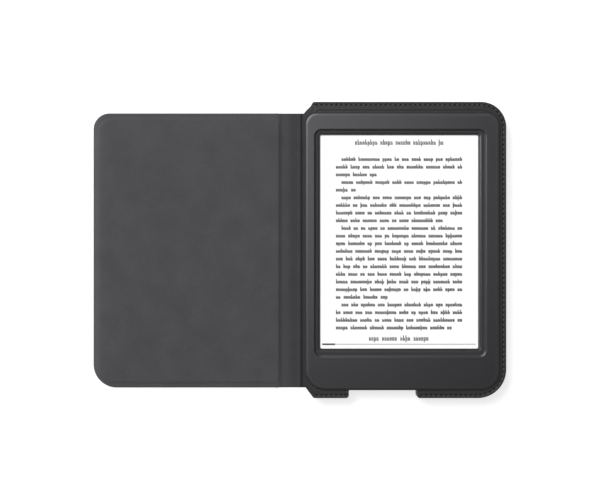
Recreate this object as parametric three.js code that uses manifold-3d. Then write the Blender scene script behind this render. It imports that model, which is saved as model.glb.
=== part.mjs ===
// A six-inch electronic-paper reader lying in its open folio cover.
//
// Frame, in millimetres: +X to the reader's right, +Y to the top of its page, +Z up out of the page.
// The origin is under the middle of the open folio, on the surface that it lies on.
// The reader sits in the tray on the right; the front cover lies flat on the left.

import * as THREE from "three";
import { mergeVertices } from "three/addons/utils/BufferGeometryUtils.js";
import Module from "manifold-3d";

const wasm = await Module();
wasm.setup();

// ---------------------------------------------------------------- driving dimensions

// The open folio: its outer edges, and where its two folds turn.
const FOLIO = { left: -119.5, right: 119.5, top: 85.25, bottom: -85.25 };
const TRAY_FOLD = { x: 0.85, z: -0.1 };
const COVER_FOLD = { x: -11.8, z: 0.9 };

// Sheet materials of the folio, and the air left between two glued sheets.
const SKIN = 0.6;
const WALL_SKIN = 0.45;
const SHELL = 0.7;
const LINING = 0.35;
const GLUE = 0.05;

// The reader: overall size, its corner radii and the rounding of its edges.
const READER = {
  left: 4.0,
  top: 78.8,
  width: 111.9,
  height: 159.4,
  thickness: 9.2,
  topCorner: 6.8,
  bottomCorner: 11.3,
  edge: 1.15,
  edgeWidth: 2.0,
  wall: 1.4,
};
const READER_RIGHT = READER.left + READER.width;
const READER_BOTTOM = READER.top - READER.height;
const READER_BACK = SKIN + SHELL + LINING + 3 * GLUE;
const READER_FACE = READER_BACK + READER.thickness;
const POCKET_CLEARANCE = 0.25;

// The page: the lit area of a six-inch panel, and the frames that step down to it.
const PAGE = { left: 12.5, right: 103.3, bottom: -56.7, top: 66.0 };
const FILM_BORDER = 0.9;
const WINDOW_CLEARANCE = 0.15;
const RECESS = { left: 9.1, right: 107.8, bottom: -61.4, top: 69.4, corner: 4.0 };
const RECESS_DEPTH = 0.7;

// The tray: its left side and its corners, and the notch for the port and the power button.
const TRAY = { left: 2.1, topCorner: 14.5, bottomCorner: 16.5, cutCorner: 1.5 };
const NOTCH = { left: 28.9, right: 68.1, top: -79.9, lip: 1.7, fillet: 1.5 };

// The tray's wall, the stitched rim on top of it, and the stretches of the rim that are sewn.
const WALL_TOP = 9.2;
const RIM_TOP = 10.1;
const STITCH_INSET = 1.68;
const THREAD = 0.6;
const THREAD_GROOVE = 0.25;
const GROOVE_SPARE = 0.15;
const SEWN = { left: 10.6, tabRight: 26.6, mainFrom: 70.6 };

// The front cover's board and the lining panel on it.
const COVER = { top: 79.6, bottom: -80.1, topCorner: 9.3, bottomCorner: 13.5, thickness: 2.2 };
const COVER_EDGE = COVER_FOLD.x - 0.3;
const BOARD_INSET = 1.0;
const BOARD = 1.1;
const PANEL_INSET = 1.9;

// Levels inside the reader, measured from its back.
const PARTING = READER_BACK + 4.75;
const PARTING_GAP = 0.1;
const CAVITY_TOP = READER_FACE - 1.4;
const CHASSIS_Z = READER_BACK + 5.4;
const BOARD_Z = READER_BACK + 3.4;
const PORT_X = READER.left + READER.width / 2;
const BUTTON_X = PORT_X - 21.7;
const LIGHT_X = PORT_X - 10;
const BUTTON_TRAVEL = 0.4;

const THROUGH = 1;

// ---------------------------------------------------------------- finishes

const finish = (color, roughness, metalness = 0) =>
  new THREE.MeshStandardMaterial({ color, roughness, metalness });

const FINISH = {
  leather: finish(0x3e3e40, 0.62),
  microfibre: finish(0x514f52, 0.95),
  thread: finish(0x38383a, 0.8),
  shell: finish(0x2c2c2e, 0.6),
  housing: finish(0x47464a, 0.48),
  film: finish(0xf4f4f2, 0.35),
  mask: finish(0x2a2a2d, 0.5),
  page: finish(0xf3f3ef, 0.8),
  guide: finish(0xe9eef2, 0.15),
  circuit: finish(0x1f4d36, 0.55),
  flex: finish(0xb5722a, 0.5),
  steel: finish(0xb9bbbe, 0.35, 1),
  chip: finish(0x1b1b1d, 0.45),
  battery: finish(0xb4b6ba, 0.4, 0.6),
  board: finish(0x8a8072, 0.9),
  copper: finish(0xb02a22, 0.5),
};

// ---------------------------------------------------------------- outlines

// A corner of an outline: its place before rounding, the radius that rounds it,
// and the number of flats that stand for the arc, which every inset of it keeps.
const corner = (x, y, r, steps = Math.ceil(3 * Math.sqrt(r))) => ({ x, y, r, steps });

// A rectangle with four rounded corners, anticlockwise from its bottom left.
function rectangle({ left, right, bottom, top }, radius = 0.5, topRadius = radius) {
  return [
    corner(left, bottom, radius),
    corner(right, bottom, radius),
    corner(right, top, topRadius),
    corner(left, top, topRadius),
  ];
}

// The same outline with every edge moved inwards by d, or outwards where d is negative.
function inset(corners, d) {
  const count = corners.length;
  const edges = corners.map((from, i) => {
    const to = corners[(i + 1) % count];
    const length = Math.hypot(to.x - from.x, to.y - from.y);
    const ux = (to.x - from.x) / length;
    const uy = (to.y - from.y) / length;
    return { ux, uy, x: from.x - uy * d, y: from.y + ux * d };
  });
  return corners.map((c, i) => {
    const a = edges[(i + count - 1) % count];
    const b = edges[i];
    const cross = a.ux * b.uy - a.uy * b.ux;
    const along = ((b.x - a.x) * b.uy - (b.y - a.y) * b.ux) / cross;
    const radius = cross > 0 ? c.r - d : c.r + d;
    return corner(a.x + a.ux * along, a.y + a.uy * along, Math.max(radius, 0.05), c.steps);
  });
}

// The outline as a shape, each corner rounded by the arc that touches both of its edges.
function shapeOf(corners) {
  const count = corners.length;
  const points = corners.flatMap((c, i) => {
    const before = corners[(i + count - 1) % count];
    const after = corners[(i + 1) % count];
    const inAngle = Math.atan2(c.y - before.y, c.x - before.x);
    const outAngle = Math.atan2(after.y - c.y, after.x - c.x);
    let turn = outAngle - inAngle;
    turn = Math.atan2(Math.sin(turn), Math.cos(turn));
    const side = Math.sign(turn);
    const reach = c.r * Math.tan(Math.abs(turn) / 2);
    const startX = c.x - Math.cos(inAngle) * reach;
    const startY = c.y - Math.sin(inAngle) * reach;
    const centreX = startX - Math.sin(inAngle) * c.r * side;
    const centreY = startY + Math.cos(inAngle) * c.r * side;
    const from = inAngle - (side * Math.PI) / 2;
    return Array.from({ length: c.steps + 1 }, (_, k) => {
      const angle = from + (turn * k) / c.steps;
      return new THREE.Vector2(
        centreX + c.r * Math.cos(angle),
        centreY + c.r * Math.sin(angle),
      );
    });
  });
  return new THREE.Shape(points);
}

// ---------------------------------------------------------------- solids

const plate = (corners, bottom, top) =>
  new THREE.ExtrudeGeometry(shapeOf(corners), {
    depth: top - bottom,
    bevelEnabled: false,
  }).translate(0, 0, bottom);

// A plate whose top and bottom edges are rounded by quarter ellipses, tall and wide.
const roundedPlate = (corners, bottom, top, tall, wide = tall, bevelSegments = 3) =>
  new THREE.ExtrudeGeometry(shapeOf(inset(corners, wide)), {
    depth: top - bottom - 2 * tall,
    bevelThickness: tall,
    bevelSize: wide,
    bevelSegments,
  }).translate(0, 0, bottom + tall);

const block = (x0, x1, y0, y1, z0, z1) =>
  new THREE.BoxGeometry(x1 - x0, y1 - y0, z1 - z0).translate(
    (x0 + x1) / 2,
    (y0 + y1) / 2,
    (z0 + z1) / 2,
  );

const rod = (x, y, z0, z1, radius, sides = 16) =>
  new THREE.CylinderGeometry(radius, radius, z1 - z0, sides)
    .rotateX(Math.PI / 2)
    .translate(x, y, (z0 + z1) / 2);

// A closed geometry as a solid that can be joined and cut.
function solid(geometry) {
  const bare = new THREE.BufferGeometry();
  const loose = geometry.index ? geometry.toNonIndexed() : geometry;
  bare.setAttribute("position", loose.getAttribute("position"));
  const merged = mergeVertices(bare, 1e-4);
  return new wasm.Manifold(
    new wasm.Mesh({
      numProp: 3,
      vertProperties: merged.attributes.position.array,
      triVerts: new Uint32Array(merged.index.array),
    }),
  );
}

// A solid with others joined to it and others cut from it, as a geometry.
function shaped(base, { joined = [], cut = [] }) {
  let made = base instanceof THREE.BufferGeometry ? solid(base) : base;
  for (const piece of joined) made = made.add(solid(piece));
  for (const piece of cut) made = made.subtract(solid(piece));
  const { vertProperties, triVerts } = made.getMesh();
  const geometry = new THREE.BufferGeometry();
  geometry.setAttribute("position", new THREE.BufferAttribute(vertProperties, 3));
  geometry.setIndex(new THREE.BufferAttribute(triVerts, 1));
  const faceted = geometry.toNonIndexed();
  faceted.computeVertexNormals();
  return faceted;
}

const folioReader = new THREE.Group();

function add(name, geometry, material) {
  const mesh = new THREE.Mesh(geometry, material);
  mesh.name = name;
  folioReader.add(mesh);
}

// ---------------------------------------------------------------- the outlines in use

// The tray's left side, from its top edge down to its bottom edge: both ends are cut away
// beside the spine so that the folds can turn.
const trayLeftSide = [
  [8.2, FOLIO.top],
  [7.0, 82.8],
  [3.7, 79.5],
  [TRAY.left, 76.8],
  [TRAY.left, -76.5],
  [8.6, FOLIO.bottom],
];

// Round the outside of the tray, anticlockwise from the right side of the notch.
const trayOutline = [
  corner(NOTCH.right, FOLIO.bottom, NOTCH.lip),
  corner(FOLIO.right, FOLIO.bottom, TRAY.bottomCorner),
  corner(FOLIO.right, FOLIO.top, TRAY.topCorner),
  ...trayLeftSide.map(([x, y]) => corner(x, y, TRAY.cutCorner)),
  corner(NOTCH.left, FOLIO.bottom, NOTCH.lip),
  corner(NOTCH.left, NOTCH.top, NOTCH.fillet),
  corner(NOTCH.right, NOTCH.top, NOTCH.fillet),
];

const readerOutline = rectangle(
  { left: READER.left, right: READER_RIGHT, bottom: READER_BOTTOM, top: READER.top },
  READER.bottomCorner,
  READER.topCorner,
);
const pocketOutline = inset(readerOutline, -POCKET_CLEARANCE);
const filmOutline = inset(rectangle(PAGE, 0.8), -FILM_BORDER);
const pageOutline = rectangle(PAGE, 0.8);

// ---------------------------------------------------------------- tray of the folio

// The outer leather of the back: one sheet glued under the shell and turned up its wall.
function backSkin() {
  return shaped(plate(trayOutline, 0, WALL_TOP), {
    cut: [
      plate(inset(trayOutline, WALL_SKIN), SKIN, WALL_TOP + THROUGH),
      plate(pocketOutline, SKIN, WALL_TOP + THROUGH),
    ],
  });
}

// The moulded shell that grips the reader by its sides.
function trayShell() {
  const foot = SKIN + GLUE;
  return shaped(plate(inset(trayOutline, WALL_SKIN + GLUE), foot, WALL_TOP), {
    cut: [plate(pocketOutline, foot + SHELL, WALL_TOP + THROUGH)],
  });
}

// The soft sheet that the reader's back rests on.
function trayLining() {
  const foot = SKIN + GLUE + SHELL + GLUE;
  const bed = solid(plate(inset(pocketOutline, 0.3), foot, foot + LINING));
  return shaped(bed.intersect(solid(plate(inset(trayOutline, 0.6), 0, WALL_TOP))), {});
}

// A band of the rim's top that follows its stitch line, cut to the stretches that are sewn.
function stitchBand(width, bottom, top) {
  const outer = plate(inset(trayOutline, STITCH_INSET - width / 2), bottom, top);
  const inner = plate(inset(trayOutline, STITCH_INSET + width / 2), bottom - 1, top + 1);
  return solid(outer).subtract(solid(inner));
}

// Everything between two x and two y, taller than the folio.
const column = (x0, x1, y0, y1) =>
  solid(block(x0, x1, y0, y1, -THROUGH, READER_FACE + THROUGH));

function sewnStretch(band, margin, where) {
  const start = SEWN.left - margin;
  if (where === "tab") {
    return band.intersect(column(start, SEWN.tabRight + margin, FOLIO.bottom, NOTCH.top));
  }
  return band
    .subtract(column(FOLIO.left, start, FOLIO.bottom, FOLIO.top))
    .subtract(column(FOLIO.left, SEWN.mainFrom - margin, FOLIO.bottom, 0));
}

// The leather strip on top of the wall, with the sunk groove that its stitches lie in.
function rimSkin() {
  const strip = solid(plate(trayOutline, WALL_TOP + GLUE, RIM_TOP)).subtract(
    solid(plate(pocketOutline, 0, RIM_TOP + THROUGH)),
  );
  const width = THREAD + 2 * GROOVE_SPARE;
  const groove = stitchBand(width, RIM_TOP - THREAD_GROOVE - GLUE, RIM_TOP + THROUGH);
  return shaped(
    strip
      .subtract(sewnStretch(groove, GROOVE_SPARE, "main"))
      .subtract(sewnStretch(groove, GROOVE_SPARE, "tab")),
    {},
  );
}

// The stitches of one stretch, as the cord that fills the groove.
function rimThread(where) {
  const band = stitchBand(THREAD, RIM_TOP - THREAD_GROOVE, RIM_TOP);
  return shaped(sewnStretch(band, 0, where), {});
}

add("tray_back_skin", backSkin(), FINISH.leather);
add("tray_shell", trayShell(), FINISH.shell);
add("tray_lining", trayLining(), FINISH.microfibre);
add("rim_skin", rimSkin(), FINISH.leather);
add("rim_thread", rimThread("main"), FINISH.thread);
add("tab_thread", rimThread("tab"), FINISH.thread);

// The edge of the spine's leather, glued to the foot of the tray's left wall.
const TUCK = { left: 0.95, right: TRAY.left - GLUE, bottom: -76, top: 76.3, thickness: 0.5 };
add(
  "tray_fold",
  block(TUCK.left, TUCK.right, TUCK.bottom, TUCK.top, 0, TUCK.thickness),
  FINISH.leather,
);

// ---------------------------------------------------------------- spine of the folio

const SPINE = { left: COVER_FOLD.x + 0.15, right: TRAY_FOLD.x - 0.7, liningInset: 1.5 };
const SPINE_LINING_FOOT = SKIN + GLUE;

const spineSheet = (edge, bottom, top) =>
  block(SPINE.left, SPINE.right, COVER.bottom + edge, COVER.top - edge, bottom, top);

add("spine_skin", spineSheet(0, 0, SKIN), FINISH.leather);
add(
  "spine_lining",
  spineSheet(SPINE.liningInset, SPINE_LINING_FOOT, SPINE_LINING_FOOT + LINING),
  FINISH.microfibre,
);

// ---------------------------------------------------------------- front cover of the folio

const coverOutline = [
  corner(FOLIO.left, COVER.bottom, COVER.bottomCorner),
  corner(COVER_EDGE, COVER.bottom, 0.5),
  corner(COVER_EDGE, COVER.top, 0.5),
  corner(FOLIO.left, COVER.top, COVER.topCorner),
];

// The lining panel stops at the fold but keeps clear of the other three edges.
const panelOutline = (edge) => [
  corner(FOLIO.left + edge, COVER.bottom + edge, COVER.bottomCorner - edge),
  corner(COVER_EDGE - GLUE, COVER.bottom + edge, 2),
  corner(COVER_EDGE - GLUE, COVER.top - edge, 2),
  corner(FOLIO.left + edge, COVER.top - edge, COVER.topCorner - edge),
];

const BOARD_FOOT = SKIN + GLUE;
const HEM_TOP = BOARD_FOOT + BOARD + GLUE;
const MAGNET = { x: FOLIO.left + 3.3, halfX: 2, halfY: 7, thickness: 0.9 };
const CLOSURE_Y = [-55, 55];
const SLEEP_Y = -30;

const magnetBlock = (x, y, bottom, height, spare = 0) =>
  block(
    x - MAGNET.halfX - spare,
    x + MAGNET.halfX + spare,
    y - MAGNET.halfY - spare,
    y + MAGNET.halfY + spare,
    bottom,
    bottom + height,
  );

// The outer leather, with its edge turned up round the board.
function coverSkin() {
  return shaped(plate(coverOutline, 0, HEM_TOP), {
    cut: [plate(panelOutline(BOARD_INSET - GLUE), SKIN, HEM_TOP + THROUGH)],
  });
}

// The stiff board, with a pocket for each magnet.
function coverBoard() {
  const pockets = [...CLOSURE_Y, SLEEP_Y].map((y) =>
    magnetBlock(MAGNET.x, y, BOARD_FOOT - THROUGH, BOARD + 2 * THROUGH, 0.15),
  );
  return shaped(plate(panelOutline(BOARD_INSET), BOARD_FOOT, BOARD_FOOT + BOARD), {
    cut: pockets,
  });
}

add("cover_skin", coverSkin(), FINISH.leather);
add("cover_board", coverBoard(), FINISH.board);
add(
  "cover_lining",
  plate(panelOutline(PANEL_INSET), HEM_TOP + GLUE, COVER.thickness),
  FINISH.microfibre,
);
CLOSURE_Y.forEach((y, i) => {
  const magnet = magnetBlock(MAGNET.x, y, BOARD_FOOT + 0.1, MAGNET.thickness);
  add(`closure_magnet_${i + 1}`, magnet, FINISH.steel);
});
add(
  "sleep_magnet",
  magnetBlock(MAGNET.x, SLEEP_Y, BOARD_FOOT + 0.1, MAGNET.thickness),
  FINISH.steel,
);

// ---------------------------------------------------------------- casing of the reader

const innerOutline = inset(readerOutline, READER.wall);
const screwPlaces = [
  [13, 73],
  [60, 73],
  [106, 72],
  [111.6, 0],
  [16, -74.5],
  [102, -74.5],
];
const SCREW = { shank: 0.55, head: 1.4, headHeight: 0.5, boss: 2.0 };

// The flat pouch cell, and how far from it the ribs stand.
const CELL = { left: 30, right: 92, bottom: -25, top: 45, thickness: 3.2, corner: 3, edge: 0.8 };
const RIB_GAP = 3;

// The whole reader before it is split into its two mouldings.
const readerBlock = () =>
  solid(roundedPlate(readerOutline, READER_BACK, READER_FACE, READER.edge, READER.edgeWidth));

const slab = (bottom, top) => solid(block(-200, 200, -200, 200, bottom, top));

// The front moulding: a raised frame that steps down to the page, with screw bosses inside.
function frontBezel() {
  const half = readerBlock()
    .intersect(slab(PARTING, READER_FACE + THROUGH))
    .subtract(solid(plate(innerOutline, PARTING - THROUGH, CAVITY_TOP)));
  const bosses = screwPlaces.map(([x, y]) =>
    rod(x, y, CHASSIS_Z + 1, CAVITY_TOP + 0.2, SCREW.boss),
  );
  const holes = screwPlaces.map(([x, y]) =>
    rod(x, y, CHASSIS_Z, CAVITY_TOP - 0.1, SCREW.shank + 0.1),
  );
  const windowHole = inset(filmOutline, -WINDOW_CLEARANCE);
  return shaped(half, {
    joined: bosses,
    cut: [
      ...holes,
      plate(
        rectangle(RECESS, RECESS.corner),
        READER_FACE - RECESS_DEPTH,
        READER_FACE + THROUGH,
      ),
      plate(windowHole, PARTING, READER_FACE + THROUGH),
    ],
  });
}

const portHole = block(
  PORT_X - 4,
  PORT_X + 4,
  READER_BOTTOM - THROUGH,
  READER_BOTTOM + 2,
  READER_BACK + 1.8,
  PARTING + THROUGH,
);
const buttonHole = block(
  BUTTON_X - 5.2,
  BUTTON_X + 5.2,
  READER_BOTTOM - THROUGH,
  READER_BOTTOM + 2,
  READER_BACK + 1.9,
  READER_BACK + 4.3,
);
const lightHole = block(
  LIGHT_X - 1.15,
  LIGHT_X + 1.15,
  READER_BOTTOM - THROUGH,
  READER_BOTTOM + 2,
  READER_BACK + 2.45,
  READER_BACK + 3.95,
);

// The rear moulding: a shallow pan with ribs round the battery.
function rearHousing() {
  const floorTop = READER_BACK + 1;
  const half = readerBlock()
    .intersect(slab(READER_BACK - THROUGH, PARTING - PARTING_GAP))
    .subtract(solid(plate(innerOutline, floorTop, PARTING + THROUGH)));
  const ribs = [CELL.left - RIB_GAP, CELL.right + RIB_GAP].map((x) =>
    block(x - 0.5, x + 0.5, CELL.bottom - 1, CELL.top + 1, floorTop - 0.2, floorTop + 2),
  );
  return shaped(half, { joined: ribs, cut: [portHole, buttonHole, lightHole] });
}

add("front_bezel", frontBezel(), FINISH.housing);
add("rear_housing", rearHousing(), FINISH.housing);

// ---------------------------------------------------------------- screen stack

const FILM_TOP = READER_FACE - 1.0;
const FILM = 0.3;
const MASK_FOOT = FILM_TOP - FILM - 0.1;
const GUIDE_TOP = MASK_FOOT - GLUE;
const GUIDE_FOOT = GUIDE_TOP - 0.5;
const PANEL_TOP = GUIDE_FOOT - GLUE;
const PANEL_FOOT = PANEL_TOP - 0.8;
const PANEL = { left: 7.0, right: 108.8, bottom: -70.9, top: 67.5 };
const GUIDE = { ...PAGE, left: 11.6, right: 104.2, bottom: -60.5, top: 66.9 };

add("touch_film", plate(filmOutline, FILM_TOP - FILM, FILM_TOP), FINISH.film);
add(
  "screen_mask",
  shaped(plate(filmOutline, MASK_FOOT, MASK_FOOT + 0.08), {
    cut: [plate(pageOutline, MASK_FOOT - THROUGH, MASK_FOOT + THROUGH)],
  }),
  FINISH.mask,
);
add("light_guide", plate(rectangle(GUIDE, 0.5), GUIDE_FOOT, GUIDE_TOP), FINISH.guide);
add("epaper_panel", plate(rectangle(PANEL, 0.5), PANEL_FOOT, PANEL_TOP), FINISH.page);

// The strip of lamps that shines into the guide's lower edge.
const LAMPS = { count: 7, first: 18, pitch: 13.3, halfWidth: 1.2, reach: 0.5 };
const LAMP_STRIP = { left: 14, right: 102, bottom: -63.6, top: -61.1, thickness: 0.25 };

function frontlightBar() {
  const foot = LAMP_STRIP.top - 0.1;
  const lamps = Array.from({ length: LAMPS.count }, (_, i) => {
    const x = LAMPS.first + i * LAMPS.pitch;
    return block(
      x - LAMPS.halfWidth,
      x + LAMPS.halfWidth,
      foot,
      foot + LAMPS.reach,
      GUIDE_FOOT + GLUE,
      GUIDE_TOP - GLUE,
    );
  });
  const { left, right, bottom, top, thickness } = LAMP_STRIP;
  return shaped(block(left, right, bottom, top, GUIDE_FOOT, GUIDE_FOOT + thickness), {
    joined: lamps,
  });
}
add("frontlight_bar", frontlightBar(), FINISH.flex);

// The adhesive frame between the panel and the chassis.
function panelTape() {
  const ring = inset(rectangle(PANEL, 0.5), 1.5);
  return shaped(plate(ring, CHASSIS_Z + 0.84, PANEL_FOOT - 0.02), {
    cut: [plate(inset(ring, 4), 0, READER_FACE)],
  });
}
add("panel_tape", panelTape(), FINISH.chip);

// ---------------------------------------------------------------- chassis and screws

const CHASSIS = 0.8;
const DISPLAY_FLEX = { left: 68, right: 96 };
const TOUCH_FLEX = { left: 23, right: 33 };
const LIGHTENING = { left: 36, right: 84, half: 9, rows: [-36, 4, 44] };
const POST_PLACES = [
  [25, -66],
  [48, -66],
  [93, -60],
  [93, -36],
];

// The pressed plate that carries the panel, with posts for the circuit board.
function midChassis() {
  const outline = inset(readerOutline, READER.wall + 0.25);
  const holes = screwPlaces.map(([x, y]) =>
    rod(x, y, CHASSIS_Z - THROUGH, CHASSIS_Z + CHASSIS + THROUGH, SCREW.shank + 0.3),
  );
  const posts = POST_PLACES.map(([x, y]) =>
    rod(x, y, BOARD_Z + 0.85, CHASSIS_Z + 0.1, 1.4, 12),
  );
  const slots = [DISPLAY_FLEX, TOUCH_FLEX].map(({ left, right }) =>
    block(left - 1, right + 1, -76.6, -72.2, CHASSIS_Z - THROUGH, CHASSIS_Z + 2),
  );
  const lightening = LIGHTENING.rows.map((y) =>
    plate(
      rectangle({ ...LIGHTENING, bottom: y - LIGHTENING.half, top: y + LIGHTENING.half }, 5),
      CHASSIS_Z - THROUGH,
      CHASSIS_Z + 2,
    ),
  );
  return shaped(plate(outline, CHASSIS_Z, CHASSIS_Z + CHASSIS), {
    joined: posts,
    cut: [...holes, ...slots, ...lightening],
  });
}
add("mid_chassis", midChassis(), FINISH.steel);

screwPlaces.forEach(([x, y], i) => {
  const top = CHASSIS_Z - GLUE;
  const screw = shaped(rod(x, y, top - SCREW.headHeight, top, SCREW.head), {
    joined: [rod(x, y, top - 0.1, CAVITY_TOP - 0.4, SCREW.shank, 12)],
    cut: [
      block(x - 0.9, x + 0.9, y - 0.15, y + 0.15, top - 1, top - 0.3),
      block(x - 0.15, x + 0.15, y - 0.9, y + 0.9, top - 1, top - 0.3),
    ],
  });
  add(`chassis_screw_${i + 1}`, screw, FINISH.steel);
});

// ---------------------------------------------------------------- electronics

const BOARD_TOP = BOARD_Z + 0.8;
const BOARD_FACE = BOARD_Z - GLUE;
const CIRCUIT = { left: 22, right: 97, bottom: -77.6, top: -30 };

// The circuit board, cut away round the port and behind the power button.
function mainBoard() {
  const outline = rectangle(CIRCUIT, 1.5);
  return shaped(plate(outline, BOARD_Z, BOARD_TOP), {
    cut: [
      block(PORT_X - 4.2, PORT_X + 4.2, -80, -74, 0, 10),
      block(BUTTON_X - 6.6, BUTTON_X + 6.6, -80, -73.6, 0, 10),
      block(LIGHT_X - 1.4, LIGHT_X + 1.4, -80, -75.4, 0, 10),
    ],
  });
}
add("main_board", mainBoard(), FINISH.circuit);

// The pressed can over the processor, open against the board.
const SHIELD = { left: 50, right: 74, bottom: -62, top: -40, height: 1.5, sheet: 0.3 };

function processorShield() {
  const { left, right, bottom, top, height, sheet } = SHIELD;
  const can = block(left, right, bottom, top, BOARD_FACE - height, BOARD_FACE);
  const hollow = block(
    left + sheet,
    right - sheet,
    bottom + sheet,
    top - sheet,
    BOARD_FACE - height + sheet,
    BOARD_FACE + THROUGH,
  );
  return shaped(can, { cut: [hollow] });
}
add("processor_shield", processorShield(), FINISH.steel);

// What else hangs under the board: its left, right, bottom and top, its height and its finish.
const UNDER_BOARD = {
  processor_chip: [54, 68, -58, -44, 0.9, FINISH.chip],
  memory_chip: [78, 90, -58, -44, 0.9, FINISH.chip],
  power_chip: [30, 37, -50, -43, 0.8, FINISH.chip],
  wifi_module: [76, 92, -74, -62, 1.3, FINISH.steel],
  battery_connector: [38, 44, -35, -31, 1.5, FINISH.page],
};
for (const [name, [left, right, bottom, top, height, material]] of Object.entries(UNDER_BOARD)) {
  add(name, block(left, right, bottom, top, BOARD_FACE - height, BOARD_FACE), material);
}

add(
  "hall_sensor",
  block(109.6, 112.4, -31.5, -28.5, CHASSIS_Z - GLUE - 0.8, CHASSIS_Z - GLUE),
  FINISH.chip,
);
CLOSURE_Y.forEach((y, i) => {
  const magnet = magnetBlock(106.4, y, CHASSIS_Z - GLUE - 1.4, 1.4);
  add(`reader_magnet_${i + 1}`, magnet, FINISH.steel);
});

// The pouch cell, and the tape that holds it to the rear housing.
const CELL_FOOT = READER_BACK + 1.2;
const tapeOutline = inset(rectangle(CELL), 4);
add("battery_tape", plate(tapeOutline, CELL_FOOT - 0.15, CELL_FOOT - GLUE), FINISH.chip);

function batteryCell() {
  const { thickness, corner: round, edge } = CELL;
  return roundedPlate(rectangle(CELL, round), CELL_FOOT, CELL_FOOT + thickness, edge, edge, 2);
}
add("battery_cell", batteryCell(), FINISH.battery);

// The cell's lead, from its end fold to the connector under the board.
function batteryLead() {
  const z = BOARD_Z - 0.9;
  const route = new THREE.CatmullRomCurve3([
    new THREE.Vector3(46, -25.4, z),
    new THREE.Vector3(46, -27.2, z),
    new THREE.Vector3(43, -28.6, z),
    new THREE.Vector3(41, -29.2, z),
    new THREE.Vector3(41, -30.6, z),
  ]);
  const section = new THREE.Shape().absarc(0, 0, 0.6, 0, 2 * Math.PI);
  return new THREE.ExtrudeGeometry(section, { steps: 12, extrudePath: route, curveSegments: 8 });
}
add("battery_lead", batteryLead(), FINISH.copper);

// A ribbon that leaves a sheet at one level, turns down and lies on the board.
function ribbon({ left, right }, from, fold, to, level) {
  const thickness = 0.12;
  const profile = new THREE.Shape();
  profile.moveTo(from, level);
  profile.lineTo(from, level + thickness);
  profile.lineTo(fold - thickness, level + thickness);
  profile.lineTo(fold - thickness, BOARD_TOP + GLUE);
  profile.lineTo(to, BOARD_TOP + GLUE);
  profile.lineTo(to, BOARD_TOP + GLUE + thickness);
  profile.lineTo(fold, BOARD_TOP + GLUE + thickness);
  profile.lineTo(fold, level);
  profile.closePath();
  return new THREE.ExtrudeGeometry(profile, { depth: right - left, bevelEnabled: false })
    .rotateZ(Math.PI / 2)
    .rotateY(Math.PI / 2)
    .translate(left, 0, 0);
}
add("display_ribbon", ribbon(DISPLAY_FLEX, -71.2, -75.6, -68, PANEL_FOOT + 0.3), FINISH.flex);
add("touch_ribbon", ribbon(TOUCH_FLEX, -64.4, -73.4, -68, PANEL_TOP + 0.1), FINISH.flex);

// ---------------------------------------------------------------- port, button and light

// The charging socket: a folded steel shell round an insulating tongue.
const PORT = { halfWidth: 3.8, foot: READER_BACK + 2.0, top: READER_BACK + 4.6, back: -74.2 };
const PORT_MOUTH = READER_BOTTOM + 0.2;
const PORT_SHEET = 0.3;

function usbPort() {
  return shaped(
    block(
      PORT_X - PORT.halfWidth,
      PORT_X + PORT.halfWidth,
      PORT_MOUTH,
      PORT.back,
      PORT.foot,
      PORT.top,
    ),
    {
      cut: [
        block(
          PORT_X - PORT.halfWidth + PORT_SHEET,
          PORT_X + PORT.halfWidth - PORT_SHEET,
          PORT_MOUTH - THROUGH,
          PORT.back - PORT_SHEET,
          PORT.foot + PORT_SHEET,
          PORT.top - PORT_SHEET,
        ),
      ],
    },
  );
}
add("usb_port", usbPort(), FINISH.steel);
add(
  "usb_tongue",
  block(
    PORT_X - 2.4,
    PORT_X + 2.4,
    PORT_MOUTH + 1,
    PORT.back - PORT_SHEET - GLUE,
    PORT.foot + 1.35,
    PORT.foot + 1.85,
  ),
  FINISH.chip,
);

// The key: a cap in the casing's hole, held in by a wider flange behind the wall.
function powerButton() {
  const middle = READER_BACK + 3.1;
  return shaped(
    block(
      BUTTON_X - 5,
      BUTTON_X + 5,
      READER_BOTTOM + 0.05,
      READER_BOTTOM + 2,
      middle - 1.1,
      middle + 1.1,
    ),
    {
      joined: [
        block(
          BUTTON_X - 6,
          BUTTON_X + 6,
          READER_BOTTOM + READER.wall + 0.15,
          READER_BOTTOM + READER.wall + 0.8,
          middle - 1.5,
          middle + 1.5,
        ),
      ],
    },
  );
}
add("power_button", powerButton(), FINISH.housing);

// The switch that the key presses, with its plunger standing off by more than the travel.
function powerSwitch() {
  const reach = READER_BOTTOM + READER.wall + 0.8 + BUTTON_TRAVEL + 0.1;
  const middle = READER_BACK + 3.1;
  return shaped(block(BUTTON_X - 3, BUTTON_X + 3, reach + 0.4, -73.8, middle - 1.2, middle + 1.2), {
    joined: [block(BUTTON_X - 1, BUTTON_X + 1, reach, reach + 0.5, middle - 0.6, middle + 0.6)],
  });
}
add("power_switch", powerSwitch(), FINISH.steel);
add(
  "status_light",
  block(
    LIGHT_X - 1,
    LIGHT_X + 1,
    READER_BOTTOM + 0.05,
    -75.8,
    READER_BACK + 2.6,
    READER_BACK + 3.8,
  ),
  FINISH.guide,
);

export default folioReader;
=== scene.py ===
import math

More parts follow.
